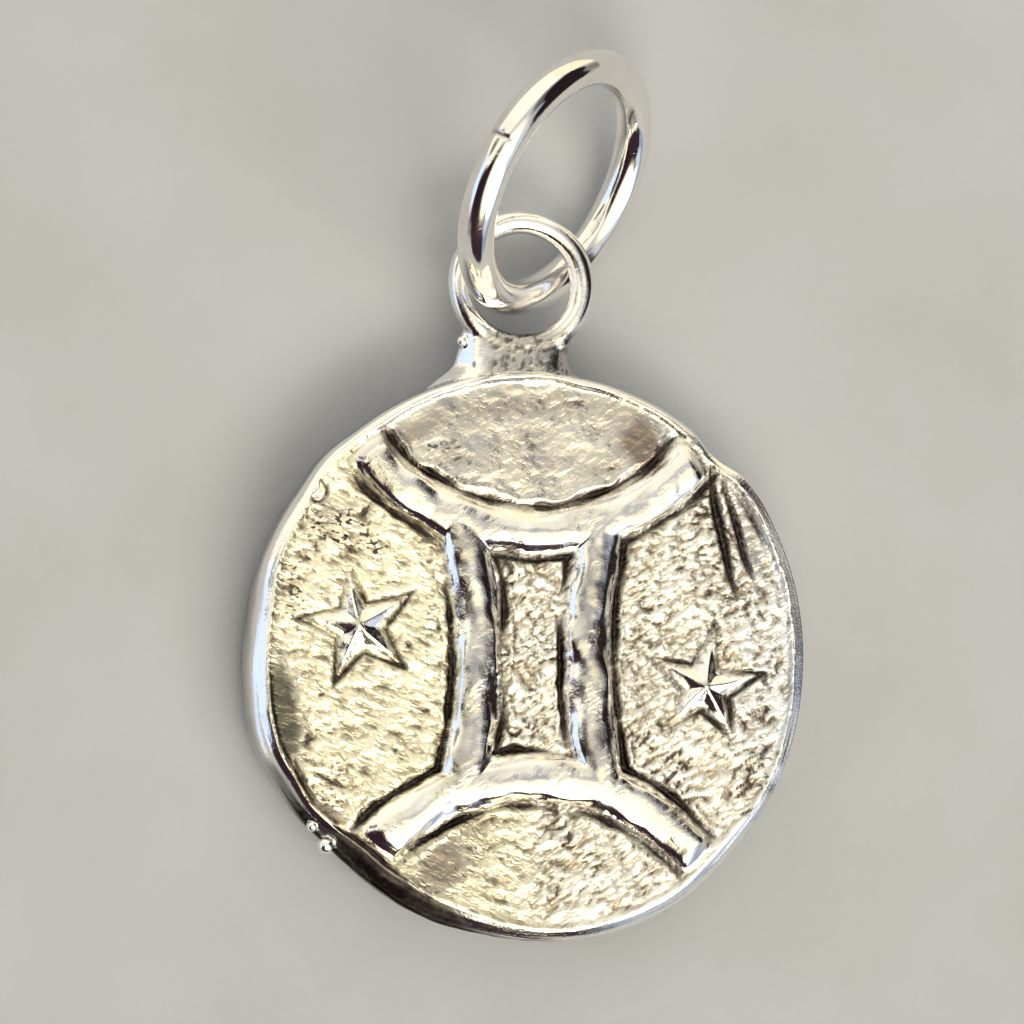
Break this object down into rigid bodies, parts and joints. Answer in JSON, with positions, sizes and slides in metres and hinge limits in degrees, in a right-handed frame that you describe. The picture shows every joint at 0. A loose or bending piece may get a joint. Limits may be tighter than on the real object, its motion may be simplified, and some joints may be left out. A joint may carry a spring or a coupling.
{
  "type": "zodiac charm",
  "caption": "Small round cast silver charm with the sign of the Twins in relief, a soldered bail ring and a loose round-wire jump ring.",
  "frame": {"origin": "centre of the disc's flat back, on the surface that the charm lies on", "axes": "+Z out of the disc's face, +Y from the disc's centre towards the bail, +X to the right seen from the face"},
  "size_m": [0.0154, 0.0238, 0.0064],
  "materials": {
    "cast_silver": "polished cast surface with darkened recesses",
    "wire_silver": "mirror-polished round wire"
  },
  "bodies": {
    "root": {"cast_disc": "cast_silver", "jump_ring": "wire_silver"}
  },
  "joints": []
}
